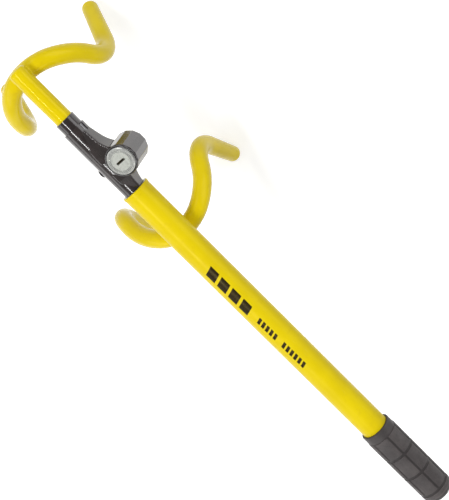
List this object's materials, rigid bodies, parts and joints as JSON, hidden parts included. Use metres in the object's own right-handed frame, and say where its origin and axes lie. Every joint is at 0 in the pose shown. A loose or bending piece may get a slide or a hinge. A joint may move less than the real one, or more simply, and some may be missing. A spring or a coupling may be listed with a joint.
{
  "type": "steering wheel lock",
  "caption": "Telescopic steering wheel lock: twin hooks on a sliding rod and on a long coated tube, side key lock and rubber grip.",
  "frame": {"origin": "on the sliding rod's axis, at the mouth of the long tube, where the lock's covers begin", "axes": "+X along the rod towards the sliding hook; +Z towards the driver, away from the way the hooks' tips reach; the key cylinder's axis is turned 16 degrees from +Z towards +Y, beside the rod on its -Y side"},
  "size_m": [0.5648, 0.1312, 0.18],
  "materials": {
    "yellow_vinyl": "glossy dipped vinyl",
    "bare_steel": "plain drawn steel",
    "rod_steel": "turned and plated steel",
    "spring_steel": "oiled spring steel",
    "grip_rubber": "moulded, slightly dusty satin",
    "black_plastic": "glossy moulded",
    "bezel_black": "glossy moulded",
    "zinc_casting": "as cast, matt",
    "chrome_face": "polished with a fine turned grain",
    "plug_chrome": "satin plated",
    "bush_bronze": "oil-filled sintered",
    "bush_nylon": "natural nylon",
    "brass_wafer": "stamped"
  },
  "bodies": {
    "frame": {"body_tube": "bare_steel", "tube_coat": "yellow_vinyl", "tube_hook_bar": "bare_steel", "tube_hook_skin": "yellow_vinyl", "tube_hook_weld": "yellow_vinyl", "hand_grip": "grip_rubber", "grip_end_plug": "black_plastic", "lock_housing": "zinc_casting", "housing_pins": "bare_steel", "front_cover": "black_plastic", "rear_cover": "black_plastic", "barrel_bezel": "bezel_black", "cylinder_shell": "chrome_face", "cylinder_keeper": "bare_steel", "bolt_cap": "bezel_black", "bolt_spring": "spring_steel", "front_bush": "bush_bronze", "rear_bush": "bush_bronze", "rod_wiper": "grip_rubber"},
    "rod_carriage": {"rod_tail_bush": "bush_nylon"},
    "rod": {"sliding_rod": "rod_steel", "rod_coat": "yellow_vinyl", "rod_hook_bar": "bare_steel", "rod_hook_skin": "yellow_vinyl", "rod_hook_weld": "yellow_vinyl", "rod_stop_ring": "spring_steel"},
    "plug": {"key_plug": "plug_chrome", "drive_cam": "zinc_casting", "plug_clip": "spring_steel", "wafer_tumblers": "brass_wafer", "wafer_springs": "spring_steel"},
    "bolt": {"locking_bolt": "rod_steel"}
  },
  "joints": [
    {"name": "rod_slide", "type": "slide", "parent": "frame", "child": "rod_carriage", "axis": [1, 0, 0], "range_m": [0, 0.252]},
    {"name": "rod_turn", "type": "hinge", "parent": "rod_carriage", "child": "rod", "pos_m": [0.03, 0, 0], "axis": [1, 0, 0], "continuous": true},
    {"name": "plug_turn", "type": "hinge", "parent": "frame", "child": "plug", "pos_m": [0.0293, -0.0208, 0.01637], "axis": [0, 0.2756, 0.9613], "range_deg": [0, 60]},
    {"name": "bolt_slide", "type": "slide", "parent": "frame", "child": "bolt", "axis": [0, 0.9613, -0.2756], "range_m": [0, 0.002], "deforming": ["bolt_spring"]}
  ],
  "couplings": [
    {"joint": "bolt_slide", "follows": "plug_turn", "m_per_rad": 0.0019099}
  ]
}
